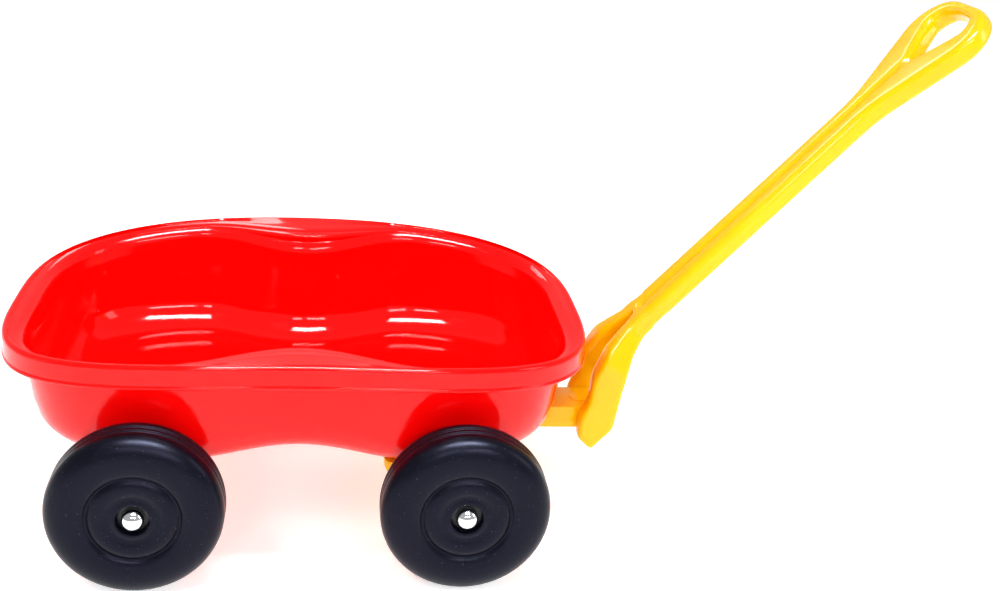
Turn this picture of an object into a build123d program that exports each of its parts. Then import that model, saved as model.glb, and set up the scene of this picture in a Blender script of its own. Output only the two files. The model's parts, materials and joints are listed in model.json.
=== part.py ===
"""Toy pull wagon: a moulded tub on two steel axles, a swivelling front truck and a tilting pull handle.

Frame: +X points forwards to the handle, +Z up, the wheels stand on Z = 0. Millimetres.
Parts are drawn with X = 0 at the middle of the tub; main() then shifts them all along X,
so that X = 0 is the middle of the whole wagon, handle included.
"""
from build123d import *
import math
import os

# ---- driving dimensions -------------------------------------------------------------------

# tub
RIM_HALF_LENGTH = 182.0       # rim outline, from the tub's middle to its ends
RIM_HALF_WIDTH = 127.5        # rim outline, from the middle plane to its sides
RIM_POWER = 3.07              # squareness of the rim outline (2 is an ellipse)
BOWL_POWER = 3.6              # squareness of the bowl's own outline
TUB_DEPTH = 66.5              # from the tub's underside to the rim's top, at the two ends
RIM_ARCH = 14.0               # how much higher the rim's top is at mid-length
SKIRT_HEIGHT = 14.5           # depth of the turned-down skirt around the rim
SKIRT_WALL = 2.6
RIM_PLATE = 3.0               # thickness of the rim's flat top
RIM_ROUND = 2.4               # rounding of the rim's outer top edge
TUB_RIDE = 8.0                # underside of the tub, above the axles
TUB_WALL = 3.0
WALL_INSET_END = 13.0         # outer wall, in from the rim outline, at the ends
WALL_INSET_SIDE = 11.0        # outer wall, in from the rim outline, at the sides
WALL_LEAN = 8.0               # how far the wall leans inwards from the rim to the base
BASE_ROUND = 24.0             # rounding between the wall and the base, outside
WAIST_DEPTH = 21.5            # how far each side is drawn in at mid-length
WAIST_REACH = 78.0            # half-length of the drawn-in stretch

# wheels and axles
WHEEL_RADIUS = 50.0
WHEEL_WIDTH = 31.5
WHEEL_WALL = 2.2              # wall of the hollow blow-moulded wheel
WHEEL_IN = 15.5               # inner face of each wheel, in from the rim's side
FRONT_AXLE_IN = 84.0          # front axle, in from the rim's front end
REAR_AXLE_IN = 92.0           # rear axle, in from the rim's rear end
HUB_STICK_OUT = 1.0           # bush, past the wheel's inner face
AXLE_RADIUS = 2.75
HUB_RADIUS = 9.5              # bore of the wheel that the hub bush fills
HUB_RECESS = 5.5              # bush face, in from the wheel's outer plane
RING_RADIUS = 26.0            # ring groove in the wheel's face
TREAD_GROOVE = 0.9            # depth of the fine grooves round the tread
CAP_RADIUS = 6.4              # domed axle cap
CAP_LENGTH = 8.0
CAP_GRIP = 5.0                # axle length inside the cap
WASHER_RADIUS = 7.5
WASHER_THICK = 1.2

# front truck
TRUCK_DECK = 3.5
TRUCK_WALL = 3.0
TRUCK_SIDE_GAP = 20.0         # between the deck's cheeks and the wheels
TRUCK_REAR = 46.0             # deck, behind the front axle
TRUCK_FRONT = 17.0            # deck, ahead of the front axle at the sides
TRUCK_NOSE = 36.0             # deck, ahead of the front axle where the drawbar starts
TRUCK_DEPTH = 14.5            # side cheeks, from the deck's top down
AXLE_TUBE_RADIUS = 7.0
TRUCK_CORNER = 8.0            # rounding of the deck's two rear corners, seen from above
TRUCK_SLOPE = 8.0             # how far the rear cheek leans in towards its lower edge
RIB_THICK = 2.5
RIB_SETS = (22.0, 58.0)       # ribs under the deck, to each side of the middle plane
KINGPIN_SETBACK = 28.0        # swivel axis, behind the front axle
KINGPIN_RADIUS = 9.0          # hollow post under the tub that the truck turns on
KINGPIN_LENGTH = 12.0
KINGPIN_WALL = 4.5            # wall of the truck's bearing ring
SCREW_RADIUS = 2.0
SCREW_HEAD_RADIUS = 5.0
SCREW_HEAD = 2.6
RETAINER_LIP = 5.0            # retainer, past the kingpin
RETAINER_THICK = 1.5

# drawbar and handle hinge
DRAWBAR_WIDTH = 30.0
DRAWBAR_HEIGHT = 15.0
DRAWBAR_DROP = 1.1            # drawbar's top, below the deck's top
DRAWBAR_ROOT = 6.0            # how far the drawbar runs back into the deck's nose
HINGE_REACH = 15.0            # cross pin, ahead of the rim's front end
HINGE_PIN_RADIUS = 3.0
STOP_BOSS_RADIUS = 7.0        # low round boss on top of the drawbar's tip
STOP_BOSS_SETBACK = 7.5
STOP_BOSS_HEIGHT = 0.8

# pull handle, drawn in its own plane: U runs up along the stem, V is square to it
HANDLE_TILT = 48.0            # stem, above the horizontal, at rest
STEM_OFFSET = 24.8            # stem's middle line, from the hinge
STEM_WIDTH = 29.0
STEM_THICK = 14.0
STEM_START = 62.0             # where the straight stem leaves the fork, along U
FLARE_LENGTH = 93.0           # grip, from where the stem opens out to its end
FLARE_ANGLE = 21.0
GRIP_END = 365.0
GRIP_CORNER = 26.0
HOLE_DEPTH = 49.0             # hole's narrow tip, back from the grip's end
HOLE_BAR = 11.0               # bar across the grip's end
HOLE_HALF_WIDTH = 26.0
HOLE_CORNER = 8.0
GROOVE_DEPTH = 5.0            # V groove along the middle of the stem, both faces
GROOVE_HALF_WIDTH = 3.6
HANDLE_ROUND = 4.5
HANDLE_WALL = 2.4             # wall left round the two hollow runs of the stem
FORK_CHEEK = 12.5             # thickness of each cheek of the fork
PIN_SOCKET = 7.0              # depth of the blind pin sockets in the cheeks
FORK_OVERLAP = 12.0           # fork, past the start of the straight stem
WEB_START = 40.0              # where the gap between the cheeks closes, along U
WEB_HALF_GAP = 5.0            # half of the gap's blunt end

# rear axle carrier
CARRIER_HALF_LENGTH = 22.0
CARRIER_SIDE_GAP = 24.0       # between the carrier's ends and the wheels
CARRIER_SCREW_X = 13.2
CARRIER_SCREW_IN = 28.0       # screws, in from the carrier's ends
CARRIER_LOW = 3.0             # carrier's lower edge, below the axle
CARRIER_CORNER = 6.0
BOSS_RADIUS = 5.0
BOSS_LENGTH = 7.0
SEAT_THICK = 2.0              # plastic between a boss and its screw's head

# clearances
RUN_FIT = 0.08                # radial, round a turning shaft
PRESS_GAP = 0.02              # radial, round a part pressed home
PART_GAP = 0.3                # between bodies that move past each other
SLIP_GAP = 0.1                # radial, round a locating boss or the kingpin
SIDE_GAP = 0.4                # each side of the drawbar in the handle's fork

# ---- worked-out values --------------------------------------------------------------------

AXLE_Z = WHEEL_RADIUS
TUB_BASE_Z = AXLE_Z + TUB_RIDE
RIM_END_Z = TUB_BASE_Z + TUB_DEPTH
FRONT_X = RIM_HALF_LENGTH - FRONT_AXLE_IN
REAR_X = REAR_AXLE_IN - RIM_HALF_LENGTH
KINGPIN_X = FRONT_X - KINGPIN_SETBACK
HALF_WHEEL = WHEEL_WIDTH / 2
TRACK_HALF = RIM_HALF_WIDTH - WHEEL_IN + HALF_WHEEL
WHEEL_INNER = TRACK_HALF - HALF_WHEEL
TRUCK_HALF_WIDTH = WHEEL_INNER - TRUCK_SIDE_GAP
CARRIER_HALF_WIDTH = WHEEL_INNER - CARRIER_SIDE_GAP
CARRIER_SCREW_Y = CARRIER_HALF_WIDTH - CARRIER_SCREW_IN
BUSH_FACE = HALF_WHEEL - HUB_RECESS
BUSH_BACK = HALF_WHEEL + HUB_STICK_OUT
CAP_BASE = BUSH_FACE + PART_GAP
AXLE_END = TRACK_HALF + CAP_BASE + CAP_GRIP
WASHER_OUT = TRACK_HALF - BUSH_BACK - PART_GAP
TUBE_END = WASHER_OUT - WASHER_THICK
DECK_TOP = TUB_BASE_Z - PART_GAP
DRAWBAR_TOP_Z = DECK_TOP - DRAWBAR_DROP
DRAWBAR_HALF = DRAWBAR_WIDTH / 2
HINGE_X = RIM_HALF_LENGTH + HINGE_REACH
HINGE_Z = DRAWBAR_TOP_Z - DRAWBAR_HEIGHT / 2
FORK_IN = DRAWBAR_HALF + SIDE_GAP
FORK_OUT = FORK_IN + FORK_CHEEK
PIN_HALF = FORK_IN + PIN_SOCKET - SIDE_GAP
KINGPIN_END = TUB_BASE_Z - KINGPIN_LENGTH
RETAINER_RADIUS = KINGPIN_RADIUS + RETAINER_LIP
FLARE_START = GRIP_END - FLARE_LENGTH
HOLE_APEX = GRIP_END - HOLE_DEPTH


def rad(degrees):
    return math.radians(degrees)


# ---- helpers ------------------------------------------------------------------------------

def cylinder_z(x, y, z0, z1, radius):
    return Pos(x, y, (z0 + z1) / 2) * Cylinder(radius, z1 - z0)


def cylinder_y(x, z, y0, y1, radius):
    return Pos(x, (y0 + y1) / 2, z) * Rot(90, 0, 0) * Cylinder(radius, y1 - y0)


def block(x0, x1, y0, y1, z0, z1):
    return Pos((x0 + x1) / 2, (y0 + y1) / 2, (z0 + z1) / 2) * Box(x1 - x0, y1 - y0, z1 - z0)


def turned(points):
    """A turned piece about Y from (radius, distance along Y) points."""
    profile = Plane.XY * make_face(Polyline([(r, p) for r, p in points], close=True))
    return revolve(profile, Axis.Y)


def waist(x):
    """How far a side is drawn in at x: a smooth bell, nothing beyond WAIST_REACH."""
    if abs(x) >= WAIST_REACH:
        return 0.0
    return WAIST_DEPTH * math.cos(math.pi / 2 * x / WAIST_REACH) ** 2


def outline(half_length, half_width, power, z, waisted=False, count=40):
    """A closed superellipse outline at height z, drawn in at its waist when waisted."""
    points = []
    for i in range(count):
        t = 2 * math.pi * i / count
        c, s = math.cos(t), math.sin(t)
        reach = (abs(c) ** power + abs(s) ** power) ** (-1 / power)
        x = half_length * reach * c
        y = half_width * reach * s
        if waisted and abs(s) > 1e-9:
            y -= math.copysign(waist(x), s)
        points.append((x, y, z))
    return Face(Wire([Spline(points, periodic=True)]))


# ---- tub ----------------------------------------------------------------------------------

def arch_band(drop_top, drop_bottom):
    """Everything between two copies of the rim's arch, lowered by the two drops."""
    reach = RIM_HALF_LENGTH + 10
    edge_drop = RIM_ARCH * ((reach / RIM_HALF_LENGTH) ** 2 - 1)

    def arch(drop):
        end = RIM_END_Z - edge_drop - drop
        return ThreePointArc((-reach, end), (0, RIM_END_Z + RIM_ARCH - drop), (reach, end))

    top, bottom = arch(drop_top), arch(drop_bottom)
    sides = [Line(top @ 0, bottom @ 0), Line(top @ 1, bottom @ 1)]
    face = Plane.XZ * make_face([top, bottom, *sides])
    return extrude(face, amount=RIM_HALF_WIDTH + 20, both=True)


def bowl_outline(inset, z, round_in):
    """The bowl's outline at height z: its walls lean inwards on the way down."""
    wall_top = RIM_END_Z + RIM_ARCH
    lean = WALL_LEAN * (wall_top - z) / (wall_top - TUB_BASE_Z)
    shrink = inset + round_in + lean
    return outline(RIM_HALF_LENGTH - WALL_INSET_END - shrink, RIM_HALF_WIDTH - WALL_INSET_SIDE - shrink,
                   BOWL_POWER, z, True)


def bowl_parts(inset, base_z, base_round, top_z):
    """The rounded lower part and the straight upper part of the bowl, wall moved in by inset."""
    angles = [rad(a) for a in range(0, 91, 15)]
    low = [bowl_outline(inset, base_z + base_round * (1 - math.cos(a)), base_round * (1 - math.sin(a)))
           for a in angles]
    high = [bowl_outline(inset, base_z + base_round, 0), bowl_outline(inset, top_z, 0)]
    return loft(low), loft(high, ruled=True)


def rim_slab(half_length, half_width, top_z):
    return extrude(outline(half_length, half_width, RIM_POWER, TUB_BASE_Z), amount=top_z - TUB_BASE_Z)


def make_tub():
    top_z = RIM_END_Z + RIM_ARCH + 12
    low, high = bowl_parts(0, TUB_BASE_Z, BASE_ROUND, top_z)
    low_hollow, high_hollow = bowl_parts(TUB_WALL, TUB_BASE_Z + TUB_WALL, BASE_ROUND - TUB_WALL, top_z)
    rim = rim_slab(RIM_HALF_LENGTH, RIM_HALF_WIDTH, top_z) & arch_band(0, SKIRT_HEIGHT)
    rim_top = rim.edges().filter_by(lambda e: e.center().Z > RIM_END_Z - 1).sort_by(SortBy.LENGTH)[-1]
    rim = fillet(rim_top, RIM_ROUND) - high_hollow
    gutter = rim_slab(RIM_HALF_LENGTH - SKIRT_WALL, RIM_HALF_WIDTH - SKIRT_WALL, top_z) - high
    rim -= gutter & arch_band(RIM_PLATE, SKIRT_HEIGHT + 5)
    wall = (high - high_hollow) & arch_band(SKIRT_HEIGHT - 2, top_z)
    return rim + (wall + (low - low_hollow + underside_posts()))


def underside_posts():
    """The hollow posts under the floor: one for the kingpin, four for the carrier's screws."""
    posts = Part()
    places = [(KINGPIN_X, 0, KINGPIN_RADIUS, KINGPIN_LENGTH)]
    places += [(x, y, BOSS_RADIUS, BOSS_LENGTH) for x, y in carrier_screw_places()]
    for x, y, radius, length in places:
        post = cylinder_z(x, y, TUB_BASE_Z - length, TUB_BASE_Z + 1, radius)
        posts += post - cylinder_z(x, y, TUB_BASE_Z - length - 1, TUB_BASE_Z, SCREW_RADIUS + PRESS_GAP)
    return posts


def carrier_screw_places():
    return [(REAR_X + sx * CARRIER_SCREW_X, sy * CARRIER_SCREW_Y) for sx in (-1, 1) for sy in (-1, 1)]


# ---- wheels, bushes, axles, caps and washers -----------------------------------------------

def wheel_half_profile(shrink):
    """Outer half of the wheel's section as (radius, distance from its middle plane)."""
    edge = WHEEL_RADIUS - shrink
    face = HALF_WHEEL - shrink
    bore = HUB_RADIUS + shrink
    shoulder = 10.0 - shrink
    points = [(bore, face - 1.2), (bore + 1.4, face - 1.0)]
    points += [(bore + 4.5, face - 1.9), (bore + 9.0, face - 0.4)]
    points += [(RING_RADIUS - 3.0, face - 0.9), (RING_RADIUS - 0.8, face - 2.6)]
    points += [(RING_RADIUS + 0.6, face - 2.6)]
    points += [(RING_RADIUS + 1.6, face - 1.3), (RING_RADIUS + 8.0, face)]
    for step in range(0, 6):
        a = rad(90 - 15 * step)
        points.append((edge - shoulder + shoulder * math.cos(a), face - shoulder + shoulder * math.sin(a)))
    points.append((edge, face - shoulder - 0.6))
    return points


def make_wheel(side):
    half = wheel_half_profile(0)
    grooved = list(half)
    for p in (HALF_WHEEL - 12.4, HALF_WHEEL - 14.2):
        grooved += [(WHEEL_RADIUS, p + 0.5), (WHEEL_RADIUS - TREAD_GROOVE, p), (WHEEL_RADIUS, p - 0.5)]
    solid = turned(grooved + [(r, -p) for r, p in reversed(grooved)])
    inner = wheel_half_profile(WHEEL_WALL)
    solid -= turned(inner + [(r, -p) for r, p in reversed(inner)])
    return Pos(0, side * TRACK_HALF, 0) * solid


def make_bush(side):
    radius = HUB_RADIUS - PRESS_GAP
    bore = AXLE_RADIUS + RUN_FIT
    bush = turned([(bore, -BUSH_BACK), (radius - 0.8, -BUSH_BACK), (radius, -BUSH_BACK + 0.8),
                   (radius, BUSH_FACE - 0.6), (radius - 0.6, BUSH_FACE), (bore, BUSH_FACE)])
    if side < 0:
        bush = bush.mirror(Plane.XZ)
    return Pos(0, side * TRACK_HALF, 0) * bush


def make_cap(side):
    dome = 0.62 * CAP_LENGTH
    socket = AXLE_RADIUS + PRESS_GAP
    socket_end = CAP_BASE + CAP_GRIP + PRESS_GAP
    points = [(0, socket_end), (socket, socket_end), (socket, CAP_BASE), (CAP_RADIUS, CAP_BASE)]
    for step in range(0, 9):
        a = rad(10 * step)
        points.append((CAP_RADIUS * math.cos(a), CAP_BASE + CAP_LENGTH - dome + dome * math.sin(a)))
    cap = turned(points + [(0, CAP_BASE + CAP_LENGTH)])
    if side < 0:
        cap = cap.mirror(Plane.XZ)
    return Pos(0, side * TRACK_HALF, 0) * cap


def make_washer(side):
    ring = turned([(AXLE_RADIUS + PRESS_GAP, TUBE_END), (WASHER_RADIUS, TUBE_END),
                   (WASHER_RADIUS, WASHER_OUT), (AXLE_RADIUS + PRESS_GAP, WASHER_OUT)])
    return ring if side > 0 else ring.mirror(Plane.XZ)


def make_axle():
    chamfer_in = 0.6
    end = AXLE_END - chamfer_in
    return turned([(0, -AXLE_END), (AXLE_RADIUS - chamfer_in, -AXLE_END), (AXLE_RADIUS, -end),
                   (AXLE_RADIUS, end), (AXLE_RADIUS - chamfer_in, AXLE_END), (0, AXLE_END)])


# ---- front truck and rear carrier -----------------------------------------------------------

def axle_tube(x, half_length):
    tube = cylinder_y(x, AXLE_Z, -half_length, half_length, AXLE_TUBE_RADIUS)
    return tube, cylinder_y(x, AXLE_Z, -half_length - 1, half_length + 1, AXLE_RADIUS + PRESS_GAP)


def truck_plan():
    """The deck's outline: wide behind the axle, drawn in to the drawbar ahead of it."""
    rear = FRONT_X - TRUCK_REAR
    side = FRONT_X + TRUCK_FRONT
    nose = FRONT_X + TRUCK_NOSE
    half = TRUCK_HALF_WIDTH
    points = [(rear, -half), (side, -half), (nose, -DRAWBAR_HALF)]
    points += [(nose, DRAWBAR_HALF), (side, half), (rear, half)]
    return make_face(Polyline(points, close=True))


def make_truck():
    low = DECK_TOP - TRUCK_DEPTH
    body = Pos(0, 0, low) * extrude(truck_plan(), amount=TRUCK_DEPTH)
    body = fillet(body.edges().filter_by(Axis.Z).group_by(Axis.X)[0], TRUCK_CORNER)
    slope = Plane.XZ * make_face(Polyline([(FRONT_X - TRUCK_REAR - 1, DECK_TOP - TRUCK_DECK),
                                           (FRONT_X - TRUCK_REAR - 1, low - 1),
                                           (FRONT_X - TRUCK_REAR + TRUCK_SLOPE + 1, low - 1)], close=True))
    body -= extrude(slope, amount=TRUCK_HALF_WIDTH + 5, both=True)
    pocket = offset(truck_plan(), -TRUCK_WALL, kind=Kind.INTERSECTION)
    body -= Pos(0, 0, low - 1) * extrude(pocket, amount=TRUCK_DEPTH - TRUCK_DECK + 1)
    body += drawbar()
    tube, bore = axle_tube(FRONT_X, TUBE_END)
    body += tube
    rib_rear = FRONT_X - TRUCK_REAR + TRUCK_SLOPE + 6
    rib_front = FRONT_X + TRUCK_FRONT - 1
    for y in [side * offset_y for side in (-1, 1) for offset_y in RIB_SETS]:
        body += block(rib_rear, rib_front, y - RIB_THICK / 2, y + RIB_THICK / 2, low + 2, DECK_TOP - 1)
    ring_top, ring_low = DECK_TOP, KINGPIN_END + PART_GAP
    body += cylinder_z(KINGPIN_X, 0, ring_low, ring_top, KINGPIN_RADIUS + SLIP_GAP + KINGPIN_WALL)
    body -= cylinder_z(KINGPIN_X, 0, low - 2, ring_top + 1, KINGPIN_RADIUS + SLIP_GAP)
    return body - bore


def drawbar():
    """The channel that runs forward to the hinge, open underneath, with a round tip."""
    start = FRONT_X + TRUCK_NOSE - DRAWBAR_ROOT
    low = DRAWBAR_TOP_Z - DRAWBAR_HEIGHT
    bar = block(start, HINGE_X, -DRAWBAR_HALF, DRAWBAR_HALF, low, DRAWBAR_TOP_Z)
    bar += cylinder_y(HINGE_X, HINGE_Z, -DRAWBAR_HALF, DRAWBAR_HALF, DRAWBAR_HEIGHT / 2)
    solid_tip = HINGE_X - DRAWBAR_HEIGHT / 2 - 2
    bar -= block(start + TRUCK_WALL, solid_tip, -DRAWBAR_HALF + TRUCK_WALL, DRAWBAR_HALF - TRUCK_WALL,
                 low - 1, DRAWBAR_TOP_Z - TRUCK_DECK)
    bar += cylinder_z(HINGE_X - STOP_BOSS_SETBACK, 0, DRAWBAR_TOP_Z - 1, DRAWBAR_TOP_Z + STOP_BOSS_HEIGHT,
                      STOP_BOSS_RADIUS)
    bore = cylinder_y(HINGE_X, HINGE_Z, -DRAWBAR_HALF - 1, DRAWBAR_HALF + 1, HINGE_PIN_RADIUS + PRESS_GAP)
    return bar - bore


def make_carrier():
    low = AXLE_Z - CARRIER_LOW
    body = block(REAR_X - CARRIER_HALF_LENGTH, REAR_X + CARRIER_HALF_LENGTH,
                 -CARRIER_HALF_WIDTH, CARRIER_HALF_WIDTH, low, TUB_BASE_Z)
    body = fillet(body.edges().filter_by(Axis.Z), CARRIER_CORNER)
    inner = block(REAR_X - CARRIER_HALF_LENGTH + TRUCK_WALL, REAR_X + CARRIER_HALF_LENGTH - TRUCK_WALL,
                  -CARRIER_HALF_WIDTH + TRUCK_WALL, CARRIER_HALF_WIDTH - TRUCK_WALL,
                  low - 1, TUB_BASE_Z - TRUCK_DECK)
    body -= inner
    tube, bore = axle_tube(REAR_X, TUBE_END)
    body += tube
    socket_low = TUB_BASE_Z - BOSS_LENGTH - SEAT_THICK
    for x, y in carrier_screw_places():
        body += cylinder_z(x, y, socket_low, TUB_BASE_Z, BOSS_RADIUS + SLIP_GAP + SEAT_THICK)
        body -= cylinder_z(x, y, TUB_BASE_Z - BOSS_LENGTH, TUB_BASE_Z + 1, BOSS_RADIUS + SLIP_GAP)
        body -= cylinder_z(x, y, low - 5, TUB_BASE_Z, SCREW_RADIUS + SLIP_GAP)
    return body - bore


def screw(x, y, seat_z, length):
    """A pan-head screw driven upwards: its head hangs under seat_z."""
    head = cylinder_z(x, y, seat_z - SCREW_HEAD, seat_z, SCREW_HEAD_RADIUS)
    head = fillet(head.edges().sort_by(Axis.Z)[0], SCREW_HEAD * 0.6)
    shank = cylinder_z(x, y, seat_z - 0.5, seat_z + length, SCREW_RADIUS)
    slot_half, slot_reach, slot_depth = 0.5, 2.6, 1.2
    low, high = seat_z - SCREW_HEAD - 1, seat_z - SCREW_HEAD + slot_depth
    cross = block(x - slot_reach, x + slot_reach, y - slot_half, y + slot_half, low, high)
    cross += block(x - slot_half, x + slot_half, y - slot_reach, y + slot_reach, low, high)
    return head + shank - cross


def make_retainer():
    ring = cylinder_z(KINGPIN_X, 0, KINGPIN_END - RETAINER_THICK, KINGPIN_END, RETAINER_RADIUS)
    return ring - cylinder_z(KINGPIN_X, 0, KINGPIN_END - 5, KINGPIN_END + 1, SCREW_RADIUS + SLIP_GAP)


# ---- pull handle ---------------------------------------------------------------------------

def to_handle_frame(shape):
    """Carry a shape drawn at the origin, U along X and V along Z, to the hinge at rest."""
    return Pos(HINGE_X, 0, HINGE_Z) * Rot(0, -HANDLE_TILT, 0) * shape


def grip_plan():
    """Stem and grip seen square on: straight sides, then a rounded triangle."""
    half = STEM_WIDTH / 2
    corner_y = half + (GRIP_END - FLARE_START) * math.tan(rad(FLARE_ANGLE))
    side = [(STEM_START, half), (FLARE_START, half), (GRIP_END, corner_y)]
    points = side + [(u, -y) for u, y in reversed(side)]
    radii = [0, 70, GRIP_CORNER, GRIP_CORNER, 70, 0]
    outer = make_face(rounded(points, radii))
    hole = [(HOLE_APEX, 0), (GRIP_END - HOLE_BAR, -HOLE_HALF_WIDTH), (GRIP_END - HOLE_BAR, HOLE_HALF_WIDTH)]
    return outer - make_face(rounded(hole, [2.5, HOLE_CORNER, HOLE_CORNER]))


def rounded(points, radii):
    """A closed outline of straight runs with an arc at each corner (radius 0 keeps it sharp)."""
    count = len(points)
    ends = []
    for i, (corner, radius) in enumerate(zip(points, radii)):
        corner = Vector(*corner)
        before = (Vector(*points[i - 1]) - corner).normalized()
        after = (Vector(*points[(i + 1) % count]) - corner).normalized()
        half_turn = rad(before.get_angle(after)) / 2
        reach = radius / math.tan(half_turn)
        middle = corner + (before + after).normalized() * (radius / math.sin(half_turn) - radius)
        ends.append((corner + before * reach, middle, corner + after * reach))
    edges = []
    for i, (start, middle, end) in enumerate(ends):
        if radii[i] > 0:
            edges.append(ThreePointArc(start, middle, end))
        edges.append(Line(end, ends[(i + 1) % count][0]))
    return edges


def fork_side():
    """Side view of a fork cheek: a squared knuckle round the pin, cranked back to the stem."""
    top = STEM_OFFSET + STEM_THICK / 2
    low = STEM_OFFSET - STEM_THICK / 2
    end = STEM_START + FORK_OVERLAP
    points = [(-15.5, -11.0), (6.0, -11.0), (14.0, -5.5), (32.0, 6.5), (50.0, 15.0), (STEM_START + 4, low),
              (end, low), (end, top), (42.0, top), (22.0, top - 5.5), (8.0, 16.0), (-4.0, 12.0), (-15.5, 2.5)]
    radii = [1.6, 3, 8, 20, 30, 6, 0, 0, 6, 20, 20, 12, 3]
    return make_face(rounded(points, radii))


def make_handle():
    plate = Pos(0, 0, STEM_OFFSET - STEM_THICK / 2) * extrude(grip_plan(), amount=STEM_THICK)
    edges = plate.edges().filter_by(lambda e: abs(abs(e.center().Z - STEM_OFFSET) - STEM_THICK / 2) < 1e-3)
    edges = edges.filter_by(lambda e: e.center().X > STEM_START + 1)
    plate = fillet(edges, HANDLE_ROUND)
    groove_u = HOLE_APEX + 4
    for side in (-1, 1):
        face_v = STEM_OFFSET + side * STEM_THICK / 2
        tip_v = face_v - side * GROOVE_DEPTH
        cut = Plane.YZ * make_face(Polyline([(-GROOVE_HALF_WIDTH, face_v + side * 0.01),
                                             (GROOVE_HALF_WIDTH, face_v + side * 0.01),
                                             (0, tip_v)], close=True))
        plate -= Pos(STEM_START - 20, 0, 0) * extrude(cut, amount=groove_u - STEM_START + 20)
    tube_radius = (STEM_WIDTH / 4) - HANDLE_WALL
    for side in (-1, 1):
        run = Pos((STEM_START + FLARE_START) / 2 + 8, side * STEM_WIDTH / 4, STEM_OFFSET) * Rot(0, 90, 0)
        plate -= run * Cylinder(tube_radius, FLARE_START - STEM_START - 30)
    fork = extrude(Plane.XZ * fork_side(), amount=FORK_OUT, both=True)
    fork = fork & fork_front()
    handle = plate + fork
    for side in (-1, 1):
        y0, y1 = sorted((side * (FORK_IN - 1), side * (FORK_IN + PIN_SOCKET)))
        handle -= cylinder_y(0, 0, y0, y1, HINGE_PIN_RADIUS + RUN_FIT)
    return to_handle_frame(handle)


def fork_front():
    """Front view of the fork, square to the stem: two cheeks that close up into the stem."""
    half = STEM_WIDTH / 2
    end = STEM_START + FORK_OVERLAP
    points = [(-30, -FORK_OUT), (-30, FORK_OUT), (36.0, FORK_OUT), (STEM_START + 2, half), (end, half),
              (end, -half), (STEM_START + 2, -half), (36.0, -FORK_OUT)]
    outer = make_face(rounded(points, [0, 0, 18, 18, 0, 0, 18, 18]))
    slot = [(-31, -FORK_IN), (-31, FORK_IN), (20.0, FORK_IN), (WEB_START, WEB_HALF_GAP),
            (WEB_START, -WEB_HALF_GAP), (20.0, -FORK_IN)]
    inner = make_face(rounded(slot, [0, 0, 8, 4, 4, 8]))
    return Pos(0, 0, -60) * extrude(outer - inner, amount=140)


def make_pin():
    end = 0.6
    pin = turned([(0, -PIN_HALF), (HINGE_PIN_RADIUS - end, -PIN_HALF), (HINGE_PIN_RADIUS, -PIN_HALF + end),
                  (HINGE_PIN_RADIUS, PIN_HALF - end), (HINGE_PIN_RADIUS - end, PIN_HALF), (0, PIN_HALF)])
    return Pos(HINGE_X, 0, HINGE_Z) * pin


# ---- assembly ------------------------------------------------------------------------------

def assemble():
    carrier_seat = TUB_BASE_Z - BOSS_LENGTH - SEAT_THICK
    parts = {
        "tub": make_tub(),
        "front_truck": make_truck(),
        "rear_axle_carrier": make_carrier(),
        "pull_handle": make_handle(),
        "handle_pin": make_pin(),
        "kingpin_retainer": make_retainer(),
        "kingpin_screw": screw(KINGPIN_X, 0, KINGPIN_END - RETAINER_THICK, 10.0),
        "carrier_screws": [screw(x, y, carrier_seat, 7.5) for x, y in carrier_screw_places()],
    }
    for end, x in (("front", FRONT_X), ("rear", REAR_X)):
        parts[end + "_axle"] = Pos(x, 0, AXLE_Z) * make_axle()
        for name, side in (("left", 1), ("right", -1)):
            place = Pos(x, 0, AXLE_Z)
            parts[f"{end}_{name}_wheel"] = place * make_wheel(side)
            parts[f"{end}_{name}_hub_bush"] = place * make_bush(side)
            parts[f"{end}_{name}_axle_cap"] = place * make_cap(side)
            parts[f"{end}_{name}_washer"] = place * make_washer(side)
    return parts


def main():
    os.makedirs("parts", exist_ok=True)
    parts = assemble()
    boxes = []
    for shape in parts.values():
        boxes += [piece.bounding_box() for piece in (shape if isinstance(shape, list) else [shape])]
    shift_x = -(min(b.min.X for b in boxes) + max(b.max.X for b in boxes)) / 2
    for name, shape in parts.items():
        pieces = shape if isinstance(shape, list) else [shape]
        solids = [Pos(shift_x, 0, 0) * solid for piece in pieces for solid in piece.solids()]
        export_step(solids[0] if len(solids) == 1 else Compound(children=solids), f"parts/{name}.step")
    print(f"{len(parts)} parts, shifted {shift_x:.3f} mm along X")


main()
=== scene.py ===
# %% [markdown]
# # A toy pull wagon
# The wagon is a red moulded tub on four black wheels, steered and pulled by a yellow handle. A CAD model
# already says where every part is. This lesson loads that model as a fixed frame and builds the fine
# meshes and finishes around it, one part at a time.

# %% Load the frame
import json
import math
import bmesh
import bpy
from mathutils import Matrix, Vector


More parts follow.
